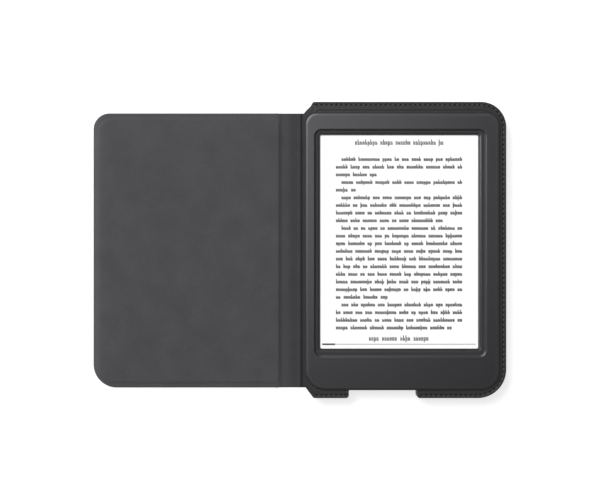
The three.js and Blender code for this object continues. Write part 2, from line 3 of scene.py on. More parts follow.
import bmesh
import bpy
import numpy as np
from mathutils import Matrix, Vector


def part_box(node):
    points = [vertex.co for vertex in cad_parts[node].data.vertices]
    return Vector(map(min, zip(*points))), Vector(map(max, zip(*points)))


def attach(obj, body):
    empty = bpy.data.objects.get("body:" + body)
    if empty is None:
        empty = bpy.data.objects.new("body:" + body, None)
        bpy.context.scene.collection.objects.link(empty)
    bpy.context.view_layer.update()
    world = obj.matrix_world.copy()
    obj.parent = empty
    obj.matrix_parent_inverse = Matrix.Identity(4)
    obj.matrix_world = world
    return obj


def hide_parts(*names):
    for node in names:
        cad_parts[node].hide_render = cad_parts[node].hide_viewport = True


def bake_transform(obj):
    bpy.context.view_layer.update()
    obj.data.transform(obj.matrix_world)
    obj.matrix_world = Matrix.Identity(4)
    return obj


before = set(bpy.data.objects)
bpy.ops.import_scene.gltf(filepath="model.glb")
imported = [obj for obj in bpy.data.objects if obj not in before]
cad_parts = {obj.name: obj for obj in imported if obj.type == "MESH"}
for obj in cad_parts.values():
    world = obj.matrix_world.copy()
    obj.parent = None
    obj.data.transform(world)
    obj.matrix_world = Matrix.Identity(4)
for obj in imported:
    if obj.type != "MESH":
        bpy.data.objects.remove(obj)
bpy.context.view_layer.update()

# ---- table, lamps and eye
# The folio lies on a seamless white table. A strong soft lamp hangs at its upper left, a weak one
# right over it, and the room round it is white. The eye looks straight down from 70 cm.

TABLE_WHITE = (0.42, 0.42, 0.42, 1)
TABLE_GLOW = 0.72
TABLE_LEVEL = -0.00005
TABLE_REACH = 4.0
ROOM_LIGHT = 0.228
SIDE_LAMP = (-0.6, 0.7, 1.2)
SIDE_WIDTH = 0.9
SIDE_POWER = 27
TOP_LAMP = (0, 0.1, 1.2)
TOP_WIDTH = 0.45
TOP_POWER = 1.0
EYE_HEIGHT = 0.7
EYE_ASIDE = 0.0008
LENS = 71.98


def show(name, data):
    """A new object in the scene, made of that data."""
    made = bpy.data.objects.new(name, data)
    bpy.context.scene.collection.objects.link(made)
    return made


def put(tree, kind, inputs=None, **settings):
    """One shader node in a tree, of a kind such as Mapping. Each input is a plain value or the
    output socket that feeds it."""
    made = tree.nodes.new("ShaderNode" + kind)
    for name, value in settings.items():
        setattr(made, name, value)
    for name, value in (inputs or {}).items():
        if isinstance(value, bpy.types.NodeSocket):
            tree.links.new(value, made.inputs[name])
        else:
            made.inputs[name].default_value = value
    return made


def finish_tree(name, plain):
    """A new material whose surface shader has those plain values, and nothing else in its tree.
    Gives the material, its tree, its shader and the coordinates of the object it is on."""
    material = bpy.data.materials.new(name)
    material.use_nodes = True
    tree = material.node_tree
    tree.nodes.clear()
    shader = put(tree, "BsdfPrincipled", plain)
    put(tree, "OutputMaterial", {"Surface": shader.outputs["BSDF"]})
    return material, tree, shader, put(tree, "TexCoord").outputs["Object"]


def feed(tree, shader, **sources):
    """Links outputs to the shader's inputs; an underscore in a name stands for a space."""
    for name, source in sources.items():
        tree.links.new(source, shader.inputs[name.replace("_", " ")])


def noise(tree, place, scale, detail=2.0):
    """The value, about 0 to 1, of a cloudy pattern with that many lumps to the metre."""
    inputs = {"Vector": place, "Scale": scale, "Detail": detail}
    return put(tree, "TexNoise", inputs).outputs["Fac"]


def between(tree, share, low, high):
    """A number that runs from low to high while a share runs from 0 to 1."""
    inputs = {"Value": share, "To Min": low, "To Max": high}
    return put(tree, "MapRange", inputs).outputs["Result"]


def table_finish():
    """Matte white sheet that glows a little, so that shadows on it stay faint."""
    plain = {"Base Color": TABLE_WHITE, "Specular IOR Level": 0.0}
    plain |= {"Emission Color": (1, 1, 1, 1), "Emission Strength": TABLE_GLOW}
    material, tree, shader, place = finish_tree("white_sheet", plain)
    feed(tree, shader, Roughness=between(tree, noise(tree, place, 900.0), 0.85, 0.95))
    return material


table_mesh = bpy.data.meshes.new("table")
turns = ((-1, -1), (1, -1), (1, 1), (-1, 1))
table_corners = [(x * TABLE_REACH, y * TABLE_REACH, TABLE_LEVEL) for x, y in turns]
table_mesh.from_pydata(table_corners, [], [(0, 1, 2, 3)])
table_mesh.materials.append(table_finish())
show("table", table_mesh)

room = bpy.data.worlds.new("room")
room.use_nodes = True
room.node_tree.nodes["Background"].inputs["Color"].default_value = (1, 1, 1, 1)
room.node_tree.nodes["Background"].inputs["Strength"].default_value = ROOM_LIGHT
bpy.context.scene.world = room


def soft_lamp(name, place, width, power):
    """A square soft lamp that faces the middle of the table: turned down by the angle between its
    place and the upright, about the level line across its bearing."""
    data = bpy.data.lights.new(name, "AREA")
    data.shape = "SQUARE"
    data.size = width
    data.energy = power
    made = show(name, data)
    made.location = place
    slant = math.atan2(math.hypot(place[0], place[1]), place[2])
    made.rotation_euler = (0, slant, math.atan2(place[1], place[0]))


soft_lamp("side_lamp", SIDE_LAMP, SIDE_WIDTH, SIDE_POWER)
soft_lamp("top_lamp", TOP_LAMP, TOP_WIDTH, TOP_POWER)

eye_data = bpy.data.cameras.new("eye")
eye_data.lens = LENS
eye_data.clip_start = 0.01
eye = show("eye", eye_data)
eye.location = (EYE_ASIDE, 0, EYE_HEIGHT)
bpy.context.scene.camera = eye
bpy.context.scene.view_settings.view_transform = "Standard"

# ---- tray: outer leather
# The tray is a moulded shell wrapped in thin grained leather: one sheet under it, turned up the
# wall and ending in a raw lip round the rim. It is cut away beside the spine and at the port.

MM = 0.001


def box_mm(node):
    """A CAD node's lowest and highest corners, in mm."""
    return np.array(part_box(node)) / MM


(TRAY_LEFT, TRAY_BOTTOM, _), (TRAY_RIGHT, TRAY_TOP, _) = box_mm("tray_back_skin")
TRAY_MIDDLE = 60
NOTCH_LEFT, NOTCH_RIGHT, NOTCH_TOP = 28.9, 68.1, -79.9
TRAY_CORNERS = [
    (NOTCH_RIGHT, TRAY_BOTTOM, 1.7),
    (TRAY_RIGHT, TRAY_BOTTOM, 16.5),
    (TRAY_RIGHT, TRAY_TOP, 14.5),
    (8.2, TRAY_TOP, 1.5),
    (7.0, 82.8, 1.5),
    (3.7, 79.5, 1.5),
    (TRAY_LEFT, 76.8, 1.5),
    (TRAY_LEFT, -76.5, 1.5),
    (8.6, TRAY_BOTTOM, 1.5),
    (NOTCH_LEFT, TRAY_BOTTOM, 1.7),
    (NOTCH_LEFT, NOTCH_TOP, 1.5),
    (NOTCH_RIGHT, NOTCH_TOP, 1.5),
]
LEATHER_THICKNESS = 0.5
FOOT_ROUNDING = 0.9
LIP_TOP = 9.9
SHEET_TOP = 0.6
TURNED_IN = 3.0
SWELL, SWELL_SIZE = 0.02, 26
HAIR = 0.001
PORT_SIDE = -80.2
LEATHER_COLOUR = (0.0150, 0.0148, 0.0158, 1)
PEBBLES, CREASE_WIDTH = 1500.0, 0.16


def spread(corners, step):
    """How many stretches each corner's arc and the side after it are cut into, for one outline
    and all its insets: arc or side length over step, rounded up."""
    places = np.array(corners, float)
    ahead = np.roll(places[:, :2], -1, axis=0) - places[:, :2]
    length = np.hypot(*ahead.T)
    heading = np.arctan2(ahead[:, 1], ahead[:, 0])
    turn = np.abs(np.angle(np.exp(1j * (heading - np.roll(heading, 1)))))
    arcs = np.maximum(4, np.ceil(turn * places[:, 2] / step)).astype(int)
    sides = np.maximum(2, np.ceil(length / step)).astype(int)
    return arcs, sides


def outline(corners, counts, inset=0.0):
    """Closed outline in mm, anticlockwise, moved inwards by inset: shape (points, 2).
    Each corner slides along its mitre, here + (n0 + n1) * inset / (1 + d0 . d1), and is rounded by
    an arc of radius r - inset where it is convex and r + inset where it is hollow."""
    places = np.array(corners, float)
    here = places[:, :2]
    ahead = np.roll(here, -1, axis=0) - here
    after = ahead / np.hypot(*ahead.T)[:, None]
    before = np.roll(after, 1, axis=0)
    in_after = np.stack([-after[:, 1], after[:, 0]], 1)
    in_before = np.roll(in_after, 1, axis=0)
    cosine = np.sum(before * after, axis=1)
    turn = np.arctan2(before[:, 0] * after[:, 1] - before[:, 1] * after[:, 0], cosine)
    mitre = here + (in_before + in_after) * (inset / (1 + cosine))[:, None]
    radius = np.maximum(places[:, 2] - np.sign(turn) * inset, 0.02)
    reach = radius * np.tan(np.abs(turn) / 2)
    start = mitre - before * reach[:, None]
    centre = start + in_before * (np.sign(turn) * radius)[:, None]
    pieces = []
    for i in range(len(corners)):
        angle = turn[i] * np.linspace(0, 1, counts[0][i] + 1)
        spoke = start[i] - centre[i]
        arc_x = centre[i, 0] + spoke[0] * np.cos(angle) - spoke[1] * np.sin(angle)
        arc_y = centre[i, 1] + spoke[0] * np.sin(angle) + spoke[1] * np.cos(angle)
        arc = np.stack([arc_x, arc_y], 1)
        following = (i + 1) % len(corners)
        share = np.linspace(0, 1, counts[1][i] + 1)[1:-1, None]
        pieces += [arc, arc[-1] + (start[following] - arc[-1]) * share]
    return np.concatenate(pieces)


def rings(counts, profile):
    """A grid of points from rows of outline, inset, height and one more number: each row is that
    outline at its inset and height. Gives the grid, and the last number for each of its points."""
    rows = [outline(corners, counts, inset) for corners, inset, *_ in profile]
    height, extra = (np.repeat([[row[k]] for row in profile], len(rows[0]), 1) for k in (2, 3))
    return np.dstack([np.array(rows), height]), extra


def skin(name, grid, ends=True, ring=False, smooth=35):
    """A mesh object from a grid of points in mm, shape (rows, columns, 3) or (copies, rows,
    columns, 3): faces between neighbours, the last column joined to the first, and the last row
    to the first if ring, or the first and last rows closed by one face each if ends."""
    grid = np.asarray(grid, float)
    grid = grid[None] if grid.ndim == 3 else grid
    copies, rows, columns = grid.shape[:3]
    numbers = np.arange(copies * rows * columns).reshape(copies, rows, columns)
    full = np.concatenate([numbers, numbers[:, :, :1]], 2)
    full = np.concatenate([full, full[:, :1]], 1) if ring else full
    quads = np.stack([full[:, :-1, :-1], full[:, :-1, 1:], full[:, 1:, 1:], full[:, 1:, :-1]], -1)
    faces = quads.reshape(-1, 4).tolist()
    if ends:
        faces += numbers[:, 0, ::-1].tolist() + numbers[:, -1].tolist()
    mesh = bpy.data.meshes.new(name)
    mesh.from_pydata((grid.reshape(-1, 3) * MM).tolist(), [], faces)
    work = bmesh.new()
    work.from_mesh(mesh)
    bmesh.ops.recalc_face_normals(work, faces=work.faces)
    work.to_mesh(mesh)
    work.free()
    mesh.shade_smooth()
    mesh.set_sharp_from_angle(angle=math.radians(smooth))
    return show(name, mesh)


def quarter(wide, tall, steps=5):
    """Inset and rise of a rounded edge, a quarter of an ellipse from the flat to the side: inset =
    wide * (1 - sin a), rise = tall * (1 - cos a), for a from 0 to 90 degrees. Shape (steps, 2)."""
    angle = np.linspace(0, math.pi / 2, steps)
    return np.stack([wide * (1 - np.sin(angle)), tall * (1 - np.cos(angle))], 1)


def mark(piece, name, values):
    """Keeps one number for each point of a piece's mesh, for its material to read."""
    made = piece.data.attributes.new(name, "FLOAT", "POINT")
    made.data.foreach_set("value", np.asarray(values, np.float32).ravel())


def weld(piece):
    """Joins the points of a marked piece that lie in one place, so no face is without area."""
    work = bmesh.new()
    work.from_mesh(piece.data)
    bmesh.ops.dissolve_degenerate(work, edges=work.edges, dist=1e-7)
    work.to_mesh(piece.data)
    work.free()


def beside_port(plain):
    """Which points of the tray's plain outline lie on the low side, where the port is left open."""
    level = (plain[:, 1] > PORT_SIDE) & (plain[:, 1] < 0)
    return level & (plain[:, 0] > NOTCH_LEFT - 0.1) & (plain[:, 0] < NOTCH_RIGHT + 0.1)


WAVES = ((0.3, 1.0, 0.4), (1.4, 0.83, 2.1), (2.2, 1.27, 4.0), (2.9, 0.61, 1.3))


def ripple(x, y, size):
    """A smooth uneven height between about -1 and 1 over the plane: the mean of four sine waves
    of about that size, each at its own bearing, stretch and phase."""
    height = 0
    for bearing, stretch, phase in WAVES:
        along = x * math.cos(bearing) + y * math.sin(bearing)
        height = height + np.sin(along * 2 * math.pi / (size * stretch) + phase)
    return height / len(WAVES)


def shader_group(name, inputs, outputs):
    """An empty node group with those sockets: its tree, its input node and its output node."""
    tree = bpy.data.node_groups.new(name, "ShaderNodeTree")
    for label, kind, value in inputs:
        socket = tree.interface.new_socket(name=label, in_out="INPUT", socket_type=kind)
        socket.default_value = value
    for label, kind in outputs:
        tree.interface.new_socket(name=label, in_out="OUTPUT", socket_type=kind)
    return tree, tree.nodes.new("NodeGroupInput"), tree.nodes.new("NodeGroupOutput")


VECTOR, COLOUR, NUMBER = "NodeSocketVector", "NodeSocketColor", "NodeSocketFloat"


def reckon(tree, operation, *values):
    """One sum on numbers, each a plain number or an output: the result's output."""
    made = put(tree, "Math", dict(enumerate(values)), operation=operation)
    return made.outputs["Value"]


def scaled_colour(tree, colour, factor):
    """A colour times a number, either of them plain or an output: the result's output."""
    inputs = {0: colour, "Scale": factor}
    return put(tree, "VectorMath", inputs, operation="SCALE").outputs["Vector"]


def grain_group():
    """Pressed leather grain: rounded pebbles between fine creases, over softer dimples."""
    tree, given, made = shader_group(
        "leather_grain",
        [("Place", VECTOR, (0, 0, 0)), ("Pebbles", NUMBER, PEBBLES), ("Unevenness", NUMBER, 0.5)],
        [("Height", NUMBER), ("Crease", NUMBER)],
    )
    place = given.outputs["Place"]
    bend = put(tree, "TexNoise", {"Vector": place, "Scale": 700.0, "Detail": 2.0})
    pushed = put(
        tree,
        "VectorMath",
        {0: bend.outputs["Color"], 1: (0.0006, 0.0006, 0.0006), 2: place},
        operation="MULTIPLY_ADD",
    )
    pebble = put(
        tree,
        "TexVoronoi",
        {"Vector": pushed.outputs["Vector"], "Scale": given.outputs["Pebbles"]},
        feature="DISTANCE_TO_EDGE",
    )
    distance = pebble.outputs["Distance"]
    inputs = {"Value": distance, "From Max": CREASE_WIDTH, "To Min": 1.0, "To Max": 0.0}
    crease = put(tree, "MapRange", inputs, interpolation_type="SMOOTHSTEP").outputs["Result"]
    dimple = noise(tree, place, 260.0, 3.0)
    soft = reckon(tree, "MULTIPLY", dimple, given.outputs["Unevenness"])
    feed(tree, made, Height=reckon(tree, "SUBTRACT", soft, crease), Crease=crease)
    return tree


def mottle_group():
    """A colour made unevenly lighter and darker: colour * (1 + spread * (noise - 0.5))."""
    tree, given, made = shader_group(
        "mottle",
        [
            ("Place", VECTOR, (0, 0, 0)),
            ("Colour", COLOUR, (0.5, 0.5, 0.5, 1)),
            ("Size", NUMBER, 60.0),
            ("Spread", NUMBER, 0.2),
        ],
        [("Colour", COLOUR), ("Tone", NUMBER)],
    )
    cloud = noise(tree, given.outputs["Place"], given.outputs["Size"], 5.0)
    centred = reckon(tree, "SUBTRACT", cloud, 0.5)
    tone = reckon(tree, "MULTIPLY_ADD", centred, given.outputs["Spread"], 1.0)
    feed(tree, made, Colour=scaled_colour(tree, given.outputs["Colour"], tone), Tone=tone)
    return tree


leather_grain = grain_group()
mottle = mottle_group()


def mottled(tree, place, colour, size, spread_of_tone):
    """The mottle group in a material, with its own values: its colour and its tone."""
    inputs = {"Place": place, "Colour": colour, "Size": size, "Spread": spread_of_tone}
    made = put(tree, "Group", inputs, node_tree=mottle)
    return made.outputs["Colour"], made.outputs["Tone"]


def attribute(tree, name):
    """The number that mark() kept on the mesh under that name, and 0 where there is none."""
    return put(tree, "Attribute", attribute_name=name).outputs["Fac"]


def emboss(tree, shader, height, strength, depth):
    """Bump on a shader from a height between about 0 and 1, with its depth in metres."""
    inputs = {"Height": height, "Strength": strength, "Distance": depth}
    feed(tree, shader, Normal=put(tree, "Bump", inputs).outputs["Normal"])


def leather_finish(name, colour):
    """Grained leather with its creases painted darker as shade, a mottled dye and a satin top coat.
    Two numbers kept on a mesh change the dye: one makes it lighter, partly as rubbed dye and partly
    as a painted highlight; the other makes it darker, as painted shade."""
    plain = {"Specular IOR Level": 0.42, "Sheen Weight": 0.05}
    material, tree, shader, place = finish_tree(name, plain)
    inputs = {"Place": place, "Pebbles": PEBBLES}
    grain = put(tree, "Group", inputs, node_tree=leather_grain)
    dye, _ = mottled(tree, place, colour, 90.0, 0.25)
    # Painted shade: the grain's creases are darker in colour.
    painted_crease_shade = reckon(tree, "MULTIPLY_ADD", grain.outputs["Crease"], -0.28, 1.0)
    # Lighter where marked: rubbed dye and painted highlight.
    wear_and_highlight = reckon(tree, "MULTIPLY_ADD", attribute(tree, "wear_and_painted_light"), 1.1, painted_crease_shade)
    # Darker where marked: painted shade.
    painted_shade_factor = reckon(tree, "MULTIPLY_ADD", attribute(tree, "painted_shade"), -0.8, 1.0)
    tone = reckon(tree, "MULTIPLY", wear_and_highlight, painted_shade_factor)
    rough = between(tree, grain.outputs["Crease"], 0.5, 0.75)
    feed(tree, shader, Base_Color=scaled_colour(tree, dye, tone), Roughness=rough)
    emboss(tree, shader, grain.outputs["Height"], 0.35, 0.00012)
    return material


def dress(piece, material, body, slot_name, *stands_for):
    """A finished piece gets its material and its body, and the CAD nodes it stands for are hidden.
    The slot name is not used.
    """
    piece.data.materials.append(material)
    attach(piece, body)
    if stands_for:
        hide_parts(*stands_for)


leather = leather_finish("dark_leather", LEATHER_COLOUR)


def tray_leather():
    """Profile carried round the tray's outline: in over the sheet, round the foot, up the wall,
    over the lip and down inside. Beside the port the wall is only as high as the sheet, each row
    a hair above the last, so that no face there is without area."""
    counts = spread(TRAY_CORNERS, 0.5)
    foot = quarter(FOOT_ROUNDING, FOOT_ROUNDING)
    half = LEATHER_THICKNESS / 2
    lip = np.linspace(0, math.pi, 7)
    profile = [(TURNED_IN, 0.0), *foot]
    profile += [(0.0, z) for z in (1.5, 3.0, 4.5, 6.0, 7.5, 9.0)]
    profile += [(half - half * math.cos(a), LIP_TOP - half + half * math.sin(a)) for a in lip]
    profile += [(LEATHER_THICKNESS, 2 * SHEET_TOP), (LEATHER_THICKNESS, SHEET_TOP)]
    profile.append((TURNED_IN, SHEET_TOP))
    grid, z = rings(counts, [(TRAY_CORNERS, inset, z, z) for inset, z in profile])
    swell = SWELL * ripple(grid[..., 1] + grid[..., 0], z * 4, SWELL_SIZE) * (z > 1.5) * (z < 9)
    grid[..., :2] += swell[..., None] * np.sign(grid[..., :2] - [TRAY_MIDDLE, 0])
    limit = np.where(beside_port(outline(TRAY_CORNERS, counts)), SHEET_TOP, LIP_TOP)
    grid[..., 2] = np.minimum(z, limit + HAIR * z)
    made = skin("tray_leather", grid)
    # The lip is painted lighter, partly rubbed dye and partly a painted highlight, except along the
    # tray's left side, which is left dark.
    mark(made, "wear_and_painted_light", (grid[..., 2] > LIP_TOP - 0.5) & (grid[..., 0] > TRAY_LEFT + 4))
    return made


dress(tray_leather(), leather, "base", "leather", "tray_back_skin")

# ---- tray: rim strip and stitches
# A strip of the same leather covers the top of the wall, from the lip to the reader. One row of
# lock stitches in dark thread holds it, pulled down into a shallow channel near the lip.

RIM_TOP = 10.1
RIM_FOOT = 9.25
LIP_ROUNDING = 0.45
reader_low, reader_high = box_mm("front_bezel")
LOWER_CORNER, UPPER_CORNER = 11.3, 6.8
GRIP_GAP = 0.03
STITCH_INSET = 1.68
STITCH_PITCH = 2.84
STITCH_LENGTH = 1.9
STITCH_SLANT = 0.06
THREAD_RADIUS = 0.27
CHANNEL_DEPTH, CHANNEL_WIDTH = 0.2, 0.5
HOLE_DEPTH, HOLE_WIDTH = 0.6, 0.42
CREASE_INSET = 4.2
CREASE_HEIGHT = 0.12
THREAD_COLOUR = (0.030, 0.029, 0.031)


def reader_side(points):
    """The nearest point of the reader's side to each point outside it: the point pulled into the
    box of the corner centres, then pushed out again by the corner's radius."""
    radius = np.where(points[:, 1] > 0, UPPER_CORNER, LOWER_CORNER)
    x = np.clip(points[:, 0], reader_low[0] + radius, reader_high[0] - radius)
    y = np.clip(points[:, 1], reader_low[1] + radius, reader_high[1] - radius)
    core = np.stack([x, y], 1)
    away = points - core
    return core + away / np.hypot(*away.T)[:, None] * (radius + GRIP_GAP)[:, None]


def nearest_distance(points, path):
    """Distance in mm from each point of a grid to the nearest point of a path, a few points at a
    time."""
    flat = points.reshape(-1, 2)
    found = [
        np.sqrt(((part[:, None] - path[None]) ** 2).sum(-1).min(1))
        for part in np.array_split(flat, max(1, len(flat) // 400))
    ]
    return np.concatenate(found).reshape(points.shape[:-1])


def rim_path(inset, step=0.5):
    """The stretch of the tray's outline that the rim strip follows, from the right side of the
    port's notch round to its left side, moved inwards by inset."""
    counts = spread(TRAY_CORNERS, step)
    low_side = beside_port(outline(TRAY_CORNERS, counts))
    ring = np.roll(outline(TRAY_CORNERS, counts, inset), -np.flatnonzero(low_side)[-1] - 1, axis=0)
    return ring[: np.count_nonzero(~low_side)]


def needle_holes():
    """Where the thread goes down: every pitch along the stitch line, on the two sewn stretches.
    Gives the place of each hole and the direction of the seam there."""
    line = rim_path(STITCH_INSET, 0.25)
    along = np.concatenate([[0], np.cumsum(np.hypot(*np.diff(line, axis=0).T))])
    places = np.arange(STITCH_PITCH, along[-1], STITCH_PITCH)
    spot = np.stack([np.interp(places, along, line[:, k]) for k in (0, 1)], 1)
    ahead = np.stack([np.interp(places + 0.05, along, line[:, k]) for k in (0, 1)], 1)
    heading = (ahead - spot) / 0.05
    on_main = (spot[:, 0] > 70.4) | ((spot[:, 0] > 10.4) & (spot[:, 1] > 0))
    on_tab = (spot[:, 0] > 10.4) & (spot[:, 0] < 27.4) & (spot[:, 1] < 0)
    return spot, heading, on_main, on_tab


hole_spots, hole_headings, main_holes, tab_holes = needle_holes()


def rounded_drop(distance, radius):
    """How far a rounded edge lies below its flat, at a distance in from the edge."""
    short = np.clip(radius - distance, 0, radius)
    return radius - np.sqrt(np.maximum(radius**2 - short**2, 0))


def bell(distance, width):
    """A smooth bump of height 1: exp(-(distance / width) squared)."""
    return np.exp(-((distance / width) ** 2))


def ease(value):
    """Smooth step from 0 to 1: 3v^2 - 2v^3 of the value held between 0 and 1."""
    held = np.clip(value, 0, 1)
    return held * held * (3 - 2 * held)


def rim_strip():
    """Grid over the strip: one parameter follows the lip, the other runs straight from the lip to
    the reader. Height = flat - rounded edges - stitch channel - needle pits + crease ridge."""
    outer = rim_path(LEATHER_THICKNESS + 0.03)
    inner = reader_side(outer)
    centre = [TRAY_MIDDLE, 0]
    outside = np.hypot(*(outer - centre).T) - np.hypot(*(inner - centre).T) > 0.1
    outer, inner = outer[outside], inner[outside]
    width = np.hypot(*(inner - outer).T)
    share = np.concatenate([np.linspace(0, 0.62, 26), np.linspace(0.66, 1, 11)])
    flat = outer[:, None] + (inner - outer)[:, None] * share[None, :, None]
    from_edge = nearest_distance(flat, rim_path(0, 0.25))
    from_lip = from_edge - LEATHER_THICKNESS
    from_reader = np.hypot(*(flat - inner[:, None]).transpose(2, 0, 1))
    from_hole = nearest_distance(flat, hole_spots[main_holes | tab_holes])
    from_crease = from_edge - CREASE_INSET
    wide = np.clip(width - 3.9, 0, 1)[:, None]
    sewn = np.clip((3.2 - from_hole) / 1.2, 0, 1)
    height = RIM_TOP - rounded_drop(from_lip, LIP_ROUNDING) - 0.06 * bell(from_reader, 0.7)
    height -= CHANNEL_DEPTH * bell(from_edge - STITCH_INSET, CHANNEL_WIDTH) * sewn
    height -= HOLE_DEPTH * bell(from_hole, HOLE_WIDTH)
    height += wide * CREASE_HEIGHT * bell(from_crease, 0.4)
    height -= wide * CREASE_HEIGHT * bell(from_crease - 0.85, 0.45)
    height += 0.04 * ripple(flat[..., 0], flat[..., 1], 17)
    foot = np.full((len(flat), 1), RIM_FOOT)
    under = [np.dstack([flat[:, -1:], foot]), np.dstack([flat[:, :1], foot])]
    made = skin("rim_strip", np.concatenate([np.dstack([flat, height]), *under], 1))
    hidden = np.zeros((len(flat), 2))
    # Painted shade: darker round each needle hole and towards the strip's right side.
    shaded = 0.3 * ease((flat[..., 0] - 112) / 4)
    painted_shade = np.maximum(bell(from_hole, 0.5), shaded)
    mark(made, "painted_shade", np.concatenate([painted_shade, hidden], 1))
    # The lip is painted lighter, partly rubbed dye and partly a painted highlight, but not on the
    # left side and less towards the shaded right; the crease ridge gets a thin painted highlight.
    wear_and_highlight = bell(from_lip, LIP_ROUNDING) * (flat[..., 0] > TRAY_LEFT + 4) * (1 - 2.5 * shaded)
    wear_and_highlight = wear_and_highlight + 0.2 * wide * bell(from_crease, 0.35)
    mark(made, "wear_and_painted_light", np.concatenate([wear_and_highlight, hidden], 1))
    weld(made)
    return made


def stitches(name, chosen):
    """One stitch between each pair of needle holes: a tube whose radius is the fourth root of
    1 - (2a - 1)^4, whose centre arches over by 1 - (2a - 1)^2, and which lies a little askew."""
    pairs = chosen[:-1] & chosen[1:]
    middle = (hole_spots[:-1] + hole_spots[1:])[pairs] / 2
    heading = (hole_headings[:-1] + hole_headings[1:])[pairs] / 2
    sideways = np.stack([-heading[:, 1], heading[:, 0]], 1)
    a = np.linspace(0.02, 0.98, 9)
    b = np.linspace(0, 2 * math.pi, 8, endpoint=False)
    along = (a - 0.5) * STITCH_LENGTH
    radius = THREAD_RADIUS * (1 - (2 * a - 1) ** 4) ** 0.25
    rise = RIM_TOP - 0.14 - 0.3 * (2 * a - 1) ** 2
    ring_y = radius[:, None] * np.cos(b) + STITCH_SLANT * along[:, None]
    ring_z = 0.85 * radius[:, None] * np.sin(b)
    plan = middle[:, None, None] + heading[:, None, None] * along[None, :, None, None]
    plan = plan + sideways[:, None, None] * ring_y[None, :, :, None]
    height = np.broadcast_to(rise[:, None] + ring_z, plan.shape[:3])
    return skin(name, np.concatenate([plan, height[..., None]], -1))


def thread_finish():
    """Waxed three-ply thread: fine slanting plies in bump and tone, with a dull sheen."""
    plain = {"Roughness": 0.6, "Sheen Weight": 0.25}
    material, tree, shader, place = finish_tree("waxed_thread", plain)
    inputs = {"Vector": place, "Scale": 900.0, "Distortion": 2.0}
    ply = put(tree, "TexWave", inputs, bands_direction="DIAGONAL").outputs["Fac"]
    tone = between(tree, ply, 0.7, 1.3)
    feed(tree, shader, Base_Color=scaled_colour(tree, THREAD_COLOUR, tone))
    emboss(tree, shader, ply, 0.4, 0.00008)
    return material


thread = thread_finish()
dress(rim_strip(), leather, "base", "leather", "rim_skin")
dress(stitches("rim_stitches", main_holes), thread, "base", "thread", "rim_thread")
dress(stitches("tab_stitches", tab_holes), thread, "base", "thread", "tab_thread")

# ---- folds: outer leather
# The tray's sheet of leather runs on under the soft spine to the front cover. It bends at two
# folds, one beside the tray and one beside the cover's board; each has its own half of the sheet.

spine_low, spine_high = box_mm("spine_skin")
cover_low, cover_high = box_mm("cover_skin")
SPINE_MIDDLE = (spine_low[0] + spine_high[0]) / 2
COVER_EDGE = cover_high[0]
FOLDS = (
    (("base", "spine"), (2.1 * MM, 0, 0), (-1.0 * MM, 0, 0)),
    (("spine", "front_cover"), (-9.9 * MM, 0, 0), (COVER_EDGE * MM, 0, 0)),
)


def band(name, x, low, high, bottom, top, edge=0.3, rows=80, tail=None):
    """A strip across a fold: a section in x and z carried along y. low and high give its under and
    upper heights, each as a function of x and y. Near each end the section thins to a rounded
    edge, by sqrt(1 - (1 - distance / edge)^2) of its half thickness. tail(y) is how far the points
    beyond the tray's left side are stretched on to the right."""
    ends = bottom + edge * (1 - np.cos(np.linspace(0, math.pi / 2, 5)))
    body = np.linspace(bottom + edge, top - edge, rows)
    y = np.concatenate([ends[:-1], body, (bottom + top - ends)[-2::-1]])
    inside = np.clip(np.minimum(y - bottom, top - y) / edge, 0, 1)
    fullness = np.sqrt(np.maximum(1 - (1 - inside) ** 2, 0.01))[:, None]
    grid_x, grid_y = np.meshgrid(x, y)
    under, upper = low(grid_x, grid_y), high(grid_x, grid_y)
    if tail is not None:
        grid_x = grid_x + np.where(grid_x > TRAY_LEFT, tail(grid_y), 0)
    middle, half = (under + upper) / 2, (upper - under) / 2 * fullness
    over = np.dstack([grid_x, grid_y, middle + half])
    below = np.dstack([grid_x, grid_y, middle - half])[:, ::-1]
    return skin(name, np.concatenate([over, below], 1))


def foot_gap(x, y):
    """The leather's upper height: flat under the spine, then tucked under the tray's round foot."""
    under_foot = np.clip(FOOT_ROUNDING - (x - TRAY_LEFT), 0, FOOT_ROUNDING)
    curve = FOOT_ROUNDING - np.sqrt(np.maximum(FOOT_ROUNDING**2 - under_foot**2, 0))
    return np.where(x > TRAY_LEFT, np.minimum(SHEET_TOP, curve - 0.02), SHEET_TOP) + 0 * y


def fold_pair(material, pieces, nodes):
    """Finishes the two strips of one layer, the tray's side first: each gets the material, its own
    CAD node is hidden, and its place is baked into its points."""
    for piece, node, (bodies, start, end) in zip(pieces, nodes, FOLDS):
        piece.data.materials.append(material)
        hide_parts(node)
        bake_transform(piece)


def tuck(y):
    """How far in the tray's side lies at each y, where its left corners are cut away: the same
    straight slopes as its outline has, and never less than nothing."""
    lower = (-76.5 - y) * (8.6 - TRAY_LEFT) / (-76.5 - TRAY_BOTTOM)
    upper = (y - 76.8) * (3.7 - TRAY_LEFT) / (79.5 - 76.8)
    return np.maximum(0, np.maximum(lower, upper))


def flat_foot(x, y):
    """The under side of the leather, on the table."""
    return 0 * (x + y)


under_foot = TRAY_LEFT + quarter(0.75, 0.75)[-2::-1, 0]
tray_fold_x = np.concatenate([np.linspace(SPINE_MIDDLE, TRAY_LEFT, 36), under_foot])
cover_fold_x = np.linspace(COVER_EDGE, SPINE_MIDDLE, 30)
sheet = (flat_foot, foot_gap, spine_low[1], spine_high[1])
tray_fold_leather = band("tray_fold_leather", tray_fold_x, *sheet, tail=tuck)
cover_fold_leather = band("cover_fold_leather", cover_fold_x, *sheet)
strips = (tray_fold_leather, cover_fold_leather)
fold_pair(leather, strips, ("tray_fold", "spine_skin"))

